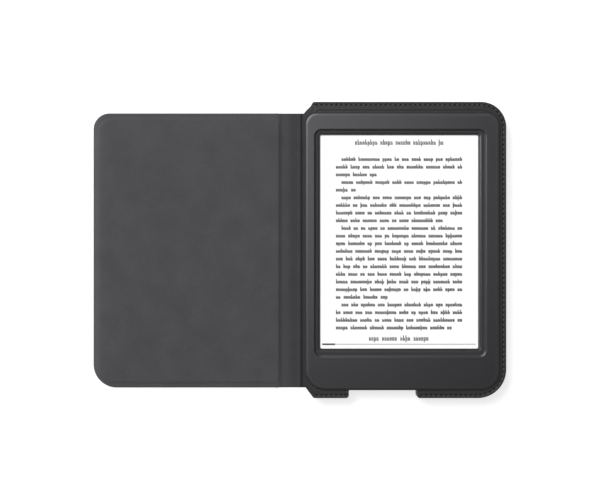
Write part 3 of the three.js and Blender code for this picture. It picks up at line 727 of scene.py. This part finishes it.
# ---- front cover: leather
# The cover's leather lies under a stiff board. Its three free edges are rounded and turned over
# the board as a narrow hem; the fourth runs on into the spine.

COVER_LEFT, COVER_BOTTOM, COVER_TOP = cover_low[0], cover_low[1], cover_high[1]
COVER_CORNERS = [
    (COVER_LEFT, COVER_BOTTOM, 13.5),
    (COVER_EDGE, COVER_BOTTOM, 0.05),
    (COVER_EDGE, COVER_TOP, 0.05),
    (COVER_LEFT, COVER_TOP, 9.3),
]
HEM_TOP = 1.8
HEM_WIDTH = 1.5
HEM_END = 0.95
BOARD_GRIP = 6.0


def cover_leather():
    """Profile carried round the cover: under, round the edge, over the hem and down inside. The
    rounding fades out towards the spine, where the leather is cut square."""
    counts = spread(COVER_CORNERS, 0.7)
    edge = quarter(HEM_TOP / 2, HEM_TOP / 2, 7)
    profile = [(BOARD_GRIP, 0.0), *edge, *[(i, HEM_TOP - z) for i, z in edge[-2::-1]]]
    profile += [(HEM_WIDTH, HEM_TOP - 0.1), (HEM_END, HEM_TOP - 0.14)]
    profile += [(HEM_END, SHEET_TOP), (BOARD_GRIP, SHEET_TOP)]
    plain = outline(COVER_CORNERS, counts)
    grid, inset = rings(counts, [(COVER_CORNERS, inset, z, inset) for inset, z in profile])
    squared = (1 - ease((COVER_EDGE - plain[:, 0]) / 4)) * (inset < HEM_WIDTH)
    grid[..., :2] += (plain - grid[..., :2]) * squared[..., None]
    cut = (plain[:, 0] > COVER_EDGE - 0.1) & (inset < BOARD_GRIP)
    grid[..., 0] = np.where(cut, COVER_EDGE, grid[..., 0])
    made = skin("cover_leather", grid)
    # The hem's dye is painted lighter towards its top, partly rubbed dye and partly a painted
    # highlight.
    mark(made, "wear_and_painted_light", ease((grid[..., 2] - 0.8) / 0.6))
    return made


dress(cover_leather(), leather, "front_cover", "leather", "cover_skin")

# ---- lining of cover and spine
# One sheet of fine grey microfibre is glued inside the cover and the spine. Over the board it
# stands up as a shallow raised panel with round corners; beside the tray it dips into the fold.

PANEL_LEFT, PANEL_RIGHT = COVER_LEFT + 2.7, -11.05
PANEL_BOTTOM, PANEL_TOP = COVER_BOTTOM + 2.9, COVER_TOP - 2.9
PANEL_LEFT_RADIUS, PANEL_RIGHT_RADIUS = 8.5, 3.0
BORDER_LEVEL = 1.9
PANEL_RISE = 0.3
SPINE_LEVEL = 1.0
BOARD_TOP = 1.6
LINING_FOOT = 0.65
BOARD_RAMP = 0.6325
LINING_INSET = 0.35
LINING_COLOUR = (0.0590, 0.0575, 0.0612, 1)


def panel_distance(x, y):
    """Distance in from the raised panel's edge, negative outside: that of a rounded rectangle,
    min(dx, dy) inside its corner boxes and radius - length of the corner vector elsewhere."""
    on_left = x < (PANEL_LEFT + PANEL_RIGHT) / 2
    radius = np.where(on_left, PANEL_LEFT_RADIUS, PANEL_RIGHT_RADIUS)
    in_x = np.minimum(x - PANEL_LEFT, PANEL_RIGHT - x)
    in_y = np.minimum(y - PANEL_BOTTOM, PANEL_TOP - y)
    short_x, short_y = np.maximum(radius - in_x, 0), np.maximum(radius - in_y, 0)
    at_corner = (short_x > 0) & (short_y > 0)
    return np.where(at_corner, radius - np.hypot(short_x, short_y), np.minimum(in_x, in_y))


def lining_level(x, y):
    """Height of the lining's face: the level of cover or spine, plus the raised panel with its
    soft shoulder and the faint groove round it, plus the hand-glued sheet's unevenness."""
    base = SPINE_LEVEL + (BORDER_LEVEL - SPINE_LEVEL) * ease((-9.0 - x) / 3.4)
    inside = panel_distance(x, y)
    panel = PANEL_RISE * ease((inside + 0.7) / 1.6) + 0.05 * bell(inside - 1.6, 1.3)
    groove = 0.05 * bell(inside + 0.55, 0.35)
    ridge = 0.3 * bell(x - 0.5, 0.8)
    return base + panel - groove + ridge + 0.035 * ripple(x, y, 34) + 0.02 * ripple(y, x, 11)


def lining_painted_light(x, y):
    """How much painted shade the lining gets: none on the cover, some on the spine, more towards
    the tray and most in the groove beside it; below nothing, as a painted highlight, along the
    cover's left and top edges."""
    spine_painted_shade = 0
    # Painted shade: the spine darkens towards the tray, most in the groove of the fold.
    for depth, start, width in ((0.13, -11.4, 0.9), (0.17, -7.6, 4.6), (0.4, 1.0, 0.6)):
        spine_painted_shade = spine_painted_shade + depth * ease((x - start) / width)
    # Painted highlight along the cover's left and top edges.
    from_left = np.maximum(x - COVER_LEFT - 1.7, 0)
    from_top = np.maximum(COVER_TOP - y, 0) + 3 * np.maximum(x - COVER_EDGE, 0)
    painted_edge_highlight = 0.32 * np.exp(-from_left / 2.2) + 0.05 * np.exp(-from_left / 10)
    return spine_painted_shade - painted_edge_highlight - 0.1 * np.exp(-from_top / 9)


def cover_lining():
    """Rings of the cover's outline, each moved further in, at the height of the lining's face.
    The two outer rings reach the fold at the spine, where the face isn't rounded."""
    near, mid, far = np.linspace(0, 5, 26), np.linspace(5.6, 12, 10), np.linspace(14, 50, 19)
    insets = [0, *near, *mid, *far]
    profile = [(COVER_CORNERS, LINING_INSET + inset, BOARD_TOP, inset) for inset in insets]
    grid, inset = rings(spread(COVER_CORNERS, 1.0), profile)
    face = lining_level(grid[1:, :, 0], grid[1:, :, 1])
    grid[1:, :, 2] = face - rounded_drop(inset[1:], 0.12)
    at_fold = grid[:2, :, 0] > COVER_EDGE - LINING_INSET - 0.01
    grid[:2, :, 0] = np.where(at_fold, COVER_EDGE, grid[:2, :, 0])
    unrounded = lining_level(*grid[1, :, :2].T)
    grid[1, :, 2] = np.where(at_fold[1], unrounded, grid[1, :, 2])
    made = skin("cover_lining_sheet", grid, smooth=50)
    # The painted shade and highlight are kept on the points.
    mark(made, "nap_and_painted_light", lining_painted_light(grid[..., 0], grid[..., 1]))
    return made


def spine_face(x, y):
    """The lining's face on the spine, dipping to the leather in the fold beside the tray."""
    return lining_level(x, y) - 0.25 * ease((x - 1.2) / 0.6)


def spine_back(x, y):
    """The lining's glued side: on the leather under the spine, up to the board at the cover."""
    return LINING_FOOT + BOARD_RAMP * ease((-11.2 - x) / 0.9)


def microfibre_finish():
    """Brushed microfibre: very fine fibres in bump, a mottled nap unevenly lighter and darker, and
    a soft sheen at grazing angles. A number kept on the mesh darkens it as painted shade, and where
    it is below nothing lightens it as a painted highlight."""
    plain = {"Roughness": 0.95, "Specular IOR Level": 0.15}
    plain |= {"Sheen Weight": 0.12, "Sheen Roughness": 0.5}
    material, tree, shader, place = finish_tree("grey_microfibre", plain)
    nap_and_painted_light, _ = mottled(tree, place, LINING_COLOUR, 70.0, 0.4)
    stroke = put(tree, "Mapping", {"Vector": place, "Scale": (1.0, 0.35, 1.0)})
    fibre = noise(tree, stroke.outputs["Vector"], 5200.0, 3.0)
    tone = reckon(tree, "SUBTRACT", between(tree, fibre, 0.65, 1.35), attribute(tree, "nap_and_painted_light"))
    feed(tree, shader, Base_Color=scaled_colour(tree, nap_and_painted_light, tone))
    emboss(tree, shader, fibre, 0.3, 0.0001)
    return material


microfibre = microfibre_finish()
dress(cover_lining(), microfibre, "front_cover", "microfibre", "cover_lining")
lining_x = np.linspace(SPINE_MIDDLE, TRAY_LEFT - 0.05, 50)
cover_lining_x = np.linspace(COVER_EDGE, SPINE_MIDDLE, 50)
layer = (spine_back, spine_face, spine_low[1] + LINING_INSET, spine_high[1] - LINING_INSET)
tray_fold_lining = band("tray_fold_lining", lining_x, *layer, rows=260)
cover_fold_lining = band("cover_fold_lining", cover_lining_x, *layer, rows=260)
strips = (tray_fold_lining, cover_fold_lining)
# The fold strips carry the same painted shade.
for piece in strips:
    places = np.empty(len(piece.data.vertices) * 3)
    piece.data.vertices.foreach_get("co", places)
    mark(piece, "nap_and_painted_light", lining_painted_light(places[::3] / MM, places[1::3] / MM))
fold_pair(microfibre, strips, ("spine_lining", "spine_lining"))

# ---- reader: front frame
# The reader's front is one moulding in satin black: rounded at the sides, flat round the page,
# with a step down to the ledge that the clear film is let into.

film_low, film_high = box_mm("touch_film")
FACE = reader_high[2]
EDGE_WIDE, EDGE_TALL, EDGE_MATT = 1.7, 0.5, 0.25
FRAME_WALL = 1.4
RECESS_DEPTH = 0.7
STEP_OUTER, STEP_INNER = -0.1, 1.1
LIP_MATT = 0.95
COARSER = 0.45
FRAME_UNDER = FACE - 1.4
FRAME_ROUGHNESS = 0.32
FRAME_COLOUR = (0.0050, 0.0048, 0.0058, 1)


def box_corners(low, high, lower_radius, upper_radius):
    """The four corners of an upright rectangle, anticlockwise, for outline()."""
    return [
        (low[0], low[1], lower_radius),
        (high[0], low[1], lower_radius),
        (high[0], high[1], upper_radius),
        (low[0], high[1], upper_radius),
    ]


READER_CORNERS = box_corners(reader_low, reader_high, LOWER_CORNER, UPPER_CORNER)
RECESS_CORNERS = box_corners((9.1, -61.4), (107.8, 69.4), 4.0, 4.0)
FILM_CORNERS = box_corners(film_low, film_high, 1.7, 1.7)


def front_frame():
    """Rings of three outlines, each at its inset, its height and how matt it is: up the side,
    round the edge, over the face, down the step, along the ledge, down the window's chamfered lip,
    which is polished along its right side, and back underneath."""
    floor = FACE - RECESS_DEPTH
    levels = (reader_low[2], FACE - 3, FACE - 2, FACE - EDGE_TALL - 0.1)
    profile = [(READER_CORNERS, 0, z, 0) for z in levels]
    for inset, drop in quarter(EDGE_WIDE, EDGE_TALL, 13)[::-1]:
        profile.append((READER_CORNERS, inset, FACE - drop, EDGE_MATT))
    profile += [(READER_CORNERS, 3.0, FACE, 0), (RECESS_CORNERS, -0.5, FACE, 0)]
    for t in np.linspace(0, 1, 12):
        drop = RECESS_DEPTH * (0.7 * t + 0.3 * ease(t))
        inset = STEP_OUTER + (STEP_INNER - STEP_OUTER) * t
        profile.append((RECESS_CORNERS, inset, FACE - drop, t))
    profile += [
        (RECESS_CORNERS, STEP_INNER + 0.1, floor - 0.03, 1),
        (RECESS_CORNERS, STEP_INNER + 0.2, floor, 1),
        (FILM_CORNERS, -0.85, floor, 1),
        (FILM_CORNERS, -0.7, floor - 0.03, LIP_MATT),
        (FILM_CORNERS, -0.2, floor - 0.2, LIP_MATT),
        (FILM_CORNERS, -0.15, FRAME_UNDER, 1),
        (READER_CORNERS, FRAME_WALL, FRAME_UNDER, 0),
        (READER_CORNERS, FRAME_WALL, reader_low[2], 0),
    ]
    grid, matt = rings(spread(READER_CORNERS, 0.8), profile)
    made = skin("front_frame", grid, ends=False, ring=True)
    polished = (matt == LIP_MATT) & (grid[..., 0] > film_high[0])
    mark(made, "matt", np.where(polished, 0, matt))
    return made


def moulding_finish(name, colour, roughness):
    """Soft-touch moulded plastic: a fine spark-etched texture, faint flow marks in the tone, and
    a satin that is a little uneven where hands have polished it. Where a mesh has the attribute
    matt, the mould was left coarser."""
    plain = {"Specular IOR Level": 0.8, "Specular Tint": (0.96, 0.94, 1.0, 1)}
    material, tree, shader, place = finish_tree(name, plain)
    flow, tone = mottled(tree, place, colour, 35.0, 0.18)
    share = put(tree, "MapRange", {"Value": tone, "From Min": 0.9, "From Max": 1.1})
    satin = between(tree, share.outputs["Result"], roughness + 0.05, roughness - 0.05)
    rough = reckon(tree, "MULTIPLY_ADD", attribute(tree, "matt"), COARSER, satin)
    feed(tree, shader, Base_Color=flow, Roughness=rough)
    emboss(tree, shader, noise(tree, place, 4500.0), 0.25, 0.00005)
    return material


housing = moulding_finish("satin_black_moulding", FRAME_COLOUR, FRAME_ROUGHNESS)
dress(front_frame(), housing, "base", "housing", "front_bezel")


def repaint(material, *nodes):
    """CAD nodes whose shape is right keep it, and get this material."""
    for node in nodes:
        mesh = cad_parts[node].data
        mesh.materials.clear()
        mesh.materials.append(material)


repaint(housing, "rear_housing", "power_button")

# ---- screen
# Under the clear film lie a printed black border, the light guide and the white page. The page's
# ink shows rows of plain strokes: no letters, only the rhythm of a page of print.

PAGE_MIDDLE = (57.9 * MM, 4.65 * MM)
PAGE_HALF = (45.4 * MM, 61.35 * MM)
PAGE_LEVEL = box_mm("epaper_panel")[1, 2]
INK_THICKNESS = 0.03
BAR_LEVEL = -54.3
DEAD_BORDER = 0.0004
LINES = 23
LINE_PITCH = 4.41
FIRST_LINE = 52.1
TEXT_LEFT, TEXT_RIGHT = 21.5, 94.3
INDENTED = (0, 3, 5, 9, 19)
SHORT_LINES = {2: 45.1, 4: 33.0, 8: 83.1, 18: 51.4, 22: 88.3}
INDENT = 3.2
BODY_MARK = {"height": 1.75, "stroke": 0.58, "pitch": 1.38}
LARGE_MARK = {"height": 2.2, "stroke": 0.5, "pitch": 1.46}
chance = np.random.default_rng(7)


def film():
    """The clear film: a thin plate whose upper edge is rounded, with its rim marked to show grey, a
    painted highlight, most of all along its right side. Each row is an inset, a height and how much
    of a rim it is."""
    low, high = film_low[2], film_high[2]
    rows = [(0.3, low, 0), (0.0, low, 1), (0.0, high - 0.12, 1), (0.1, high - 0.02, 1)]
    rows += [(0.45, high, 1), (0.6, high, 0)]
    grid, rim = rings(spread(FILM_CORNERS, 1.0), [(FILM_CORNERS, *row) for row in rows])
    made = skin("clear_film", grid, smooth=80)
    # The rim shows grey as a painted highlight along the right side, and only faintly elsewhere.
    mark(made, "rim", rim * np.where(grid[..., 0] > film_high[0] - 0.65, 1.0, 0.05))
    return made


def film_finish():
    """Matte-coated clear film: nearly invisible on its face, and opaque grey on its marked rim, a
    painted highlight.
    """
    plain = {"Base Color": (0.14, 0.15, 0.16, 1)}
    material, tree, shader, place = finish_tree("matte_clear_film", plain)
    rough = between(tree, noise(tree, place, 3000.0), 0.3, 0.4)
    feed(tree, shader, Roughness=rough, Alpha=between(tree, attribute(tree, "rim"), 0.03, 0.95))
    return material


def clear_finish():
    """Clear acrylic of the light guide, the light pipe and the lamps, with a faint cool tint."""
    plain = {"Base Color": (0.85, 0.9, 0.95, 1), "Roughness": 0.1}
    material, tree, shader, place = finish_tree("clear_acrylic", plain)
    feed(tree, shader, Alpha=between(tree, noise(tree, place, 500.0), 0.02, 0.04))
    return material


def page_finish():
    """Electronic paper: matte white grains of pigment, with a painted glow that keeps it white into
    the shade of its window. It is white where |place - middle of the page| is within half its size,
    and dark beyond."""
    # The page glows: painted light that keeps it white.
    plain = {"Emission Strength": 1.4, "Roughness": 0.8, "Specular IOR Level": 0.1}
    material, tree, shader, place = finish_tree("white_page", plain)
    split = put(tree, "SeparateXYZ", {"Vector": place})
    inside = [
        reckon(tree, "COMPARE", split.outputs[axis], middle, half + DEAD_BORDER)
        for axis, middle, half in zip("XY", PAGE_MIDDLE, PAGE_HALF)
    ]
    grains, _ = mottled(tree, place, (0.46, 0.46, 0.455, 1), 6000.0, 0.03)
    shown = scaled_colour(tree, grains, reckon(tree, "MULTIPLY", *inside))
    feed(tree, shader, Base_Color=shown, Emission_Color=shown)
    return material


def print_finish(name, colour):
    """Flat printed or driven black, with a slight unevenness in its density."""
    material, tree, shader, place = finish_tree(name, {"Roughness": 0.6})
    feed(tree, shader, Base_Color=mottled(tree, place, colour, 900.0, 0.3)[0])
    return material


def bars(name, boxes):
    """Thin raised bars on the page from an array of rectangles (left, bottom, right, top) in mm:
    each is a grid of two rows of four corners, closed above and below."""
    left, bottom, right, top = np.array(boxes).T
    x = np.stack([left, right, right, left], 1)
    y = np.stack([bottom, bottom, top, top], 1)
    levels = (PAGE_LEVEL + 0.005, PAGE_LEVEL + INK_THICKNESS)
    rows = [np.stack([x, y, np.full(x.shape, level)], -1) for level in levels]
    return skin(name, np.stack(rows, 1), smooth=10)


def word(left, base, marks, height, stroke, pitch):
    """One word of strokes: for each mark one strong and one weak upright of uneven height, with a
    loose dot between them at the foot, the middle or the top. Gives its rectangles."""
    found = []
    for x in left + np.arange(marks) * pitch:
        tall, low, weak, dot = chance.random(4)
        rise = height * (1.45 if tall > 0.8 else 1.0)
        fall = height * (0.4 if low < 0.1 else 0.0)
        second = x + pitch * 0.46
        weak_top = base + height * (0.75 + 0.2 * weak)
        found.append((x, base - fall, x + stroke, base + rise))
        found.append((second, base + 0.1 * weak, second + stroke, weak_top))
        for level in (0.02, 0.4, 0.78)[int(dot * 3):: 2]:
            foot = base + height * level
            found.append((x + stroke, foot, second, foot + stroke * 0.7))
    return found


def print_line(left, right, base, height, stroke, pitch):
    """Words of one to ten marks set from left to right until the line is full, with the spaces
    between them widened so that the last word ends at the right edge."""
    room_for = int((right - left + pitch) / pitch)
    lengths = []
    while room_for > 2:
        marks = int(chance.choice((2, 3, 3, 4, 4, 5, 6, 7, 9)))
        marks = room_for - 1 if room_for - marks - 1 < 3 else marks
        lengths.append(min(marks, 10))
        room_for -= lengths[-1] + 1
    extra = right - left - (sum(lengths) + len(lengths) - 1) * pitch
    gap = pitch + extra / max(1, len(lengths) - 1) * (len(lengths) > 1)
    found, x = [], left
    for marks in lengths:
        found += word(x, base, marks, height, stroke, pitch)
        x += marks * pitch + gap
    return found


def page_print():
    """The page's rectangles: a head line, the body's lines, and a foot line."""
    found = print_line(32.5, 83.6, 60.5, **LARGE_MARK)
    for i in range(LINES):
        left = TEXT_LEFT + (INDENT if i in INDENTED else 0)
        right = SHORT_LINES.get(i, TEXT_RIGHT)
        base = FIRST_LINE - i * LINE_PITCH - BODY_MARK["height"] / 2
        found += print_line(left, right, base, **BODY_MARK)
    return found + print_line(40.5, 75.0, -52.3, **LARGE_MARK)


def reading_bar(name, left, right, half_height):
    """One flat bar under the foot line, which shows how far the book has been read."""
    return bars(name, [(left, BAR_LEVEL - half_height, right, BAR_LEVEL + half_height)])


ink = print_finish("page_black", (0.012, 0.012, 0.012, 1))
dress(film(), film_finish(), "base", "film", "touch_film")
dress(bars("page_print", page_print()), ink, "base", "mask")
grey = print_finish("page_grey", (0.56, 0.56, 0.56, 1))
dress(reading_bar("reading_bar", 21.6, 102.0, 0.32), grey, "base", "page")
dress(reading_bar("reading_bar_done", 13.6, 21.2, 0.5), ink, "base", "mask")
repaint(page_finish(), "epaper_panel")
repaint(clear_finish(), "light_guide", "status_light")
repaint(print_finish("black_border", (0.010, 0.010, 0.011, 1)), "screen_mask")

# ---- parts inside
# What the casing and the folio hide: plated steel, the circuit board and its packages, amber
# ribbons, the foil cell, adhesive foam, the cover's board and the moulded shell of the tray.


def plated_finish():
    """Plated sheet steel with a fine rolling grain along one way."""
    plain = {"Base Color": (0.48, 0.49, 0.51, 1), "Metallic": 1.0}
    material, tree, shader, place = finish_tree("plated_steel", plain)
    rolled = put(tree, "Mapping", {"Vector": place, "Scale": (1.0, 30.0, 1.0)})
    grain = noise(tree, rolled.outputs["Vector"], 220.0)
    feed(tree, shader, Roughness=between(tree, grain, 0.25, 0.45))
    emboss(tree, shader, grain, 0.1, 0.00005)
    return material


def board_finish():
    """Green solder mask over a pattern of copper tracks."""
    material, tree, shader, place = finish_tree("circuit_board", {"Roughness": 0.35})
    tracks = put(
        tree,
        "TexBrick",
        {
            "Vector": place,
            "Color1": (0.012, 0.075, 0.038, 1),
            "Color2": (0.012, 0.085, 0.042, 1),
            "Mortar": (0.035, 0.16, 0.07, 1),
            "Scale": 260.0,
            "Mortar Size": 0.05,
        },
    )
    feed(tree, shader, Base_Color=tracks.outputs["Color"])
    emboss(tree, shader, tracks.outputs["Fac"], 0.3, 0.00004)
    return material


def foil_finish():
    """Pouch foil of the cell: crinkled bright aluminium."""
    plain = {"Base Color": (0.55, 0.56, 0.58, 1), "Metallic": 0.9, "Roughness": 0.35}
    material, tree, shader, place = finish_tree("pouch_foil", plain)
    crinkle = put(tree, "TexVoronoi", {"Vector": place, "Scale": 320.0})
    emboss(tree, shader, crinkle.outputs["Distance"], 0.3, 0.0002)
    return material


def plain_finish(name, colour, roughness, size, spread_of_tone):
    """A hidden material of one colour, unevenly toned at its own grain size."""
    material, tree, shader, place = finish_tree(name, {"Roughness": roughness})
    shade, tone = mottled(tree, place, colour, size, spread_of_tone)
    feed(tree, shader, Base_Color=shade)
    emboss(tree, shader, tone, 0.2, 0.0001)
    return material


screws = [f"chassis_screw_{n}" for n in range(1, 7)]
magnets = [f"{place}_magnet_{n}" for place in ("closure", "reader") for n in (1, 2)]
pressed_steel = ["mid_chassis", "processor_shield", "wifi_module", "power_switch", "usb_port"]
repaint(plated_finish(), *screws, *magnets, "sleep_magnet", *pressed_steel)
repaint(board_finish(), "main_board")
repaint(foil_finish(), "battery_cell")
repaint(moulding_finish("tray_moulding", (0.02, 0.02, 0.021, 1), 0.55), "tray_shell")
repaint(microfibre, "tray_lining")

PACKAGES = ("processor_chip", "memory_chip", "power_chip", "hall_sensor", "usb_tongue")
RIBBONS = ("frontlight_bar", "display_ribbon", "touch_ribbon")
for name, colour, roughness, size, spread_of_tone, nodes in (
    ("chip_package", (0.012, 0.012, 0.013, 1), 0.5, 2500.0, 0.4, PACKAGES),
    ("amber_film", (0.45, 0.16, 0.025, 1), 0.4, 500.0, 0.2, RIBBONS),
    ("adhesive_foam", (0.01, 0.01, 0.01, 1), 0.9, 3000.0, 0.6, ("panel_tape", "battery_tape")),
    ("grey_board", (0.25, 0.21, 0.165, 1), 0.95, 700.0, 0.3, ("cover_board",)),
    ("white_nylon", (0.75, 0.75, 0.72, 1), 0.5, 400.0, 0.05, ("battery_connector",)),
    ("red_sleeve", (0.42, 0.03, 0.02, 1), 0.5, 600.0, 0.1, ("battery_lead",)),
):
    repaint(plain_finish(name, colour, roughness, size, spread_of_tone), *nodes)
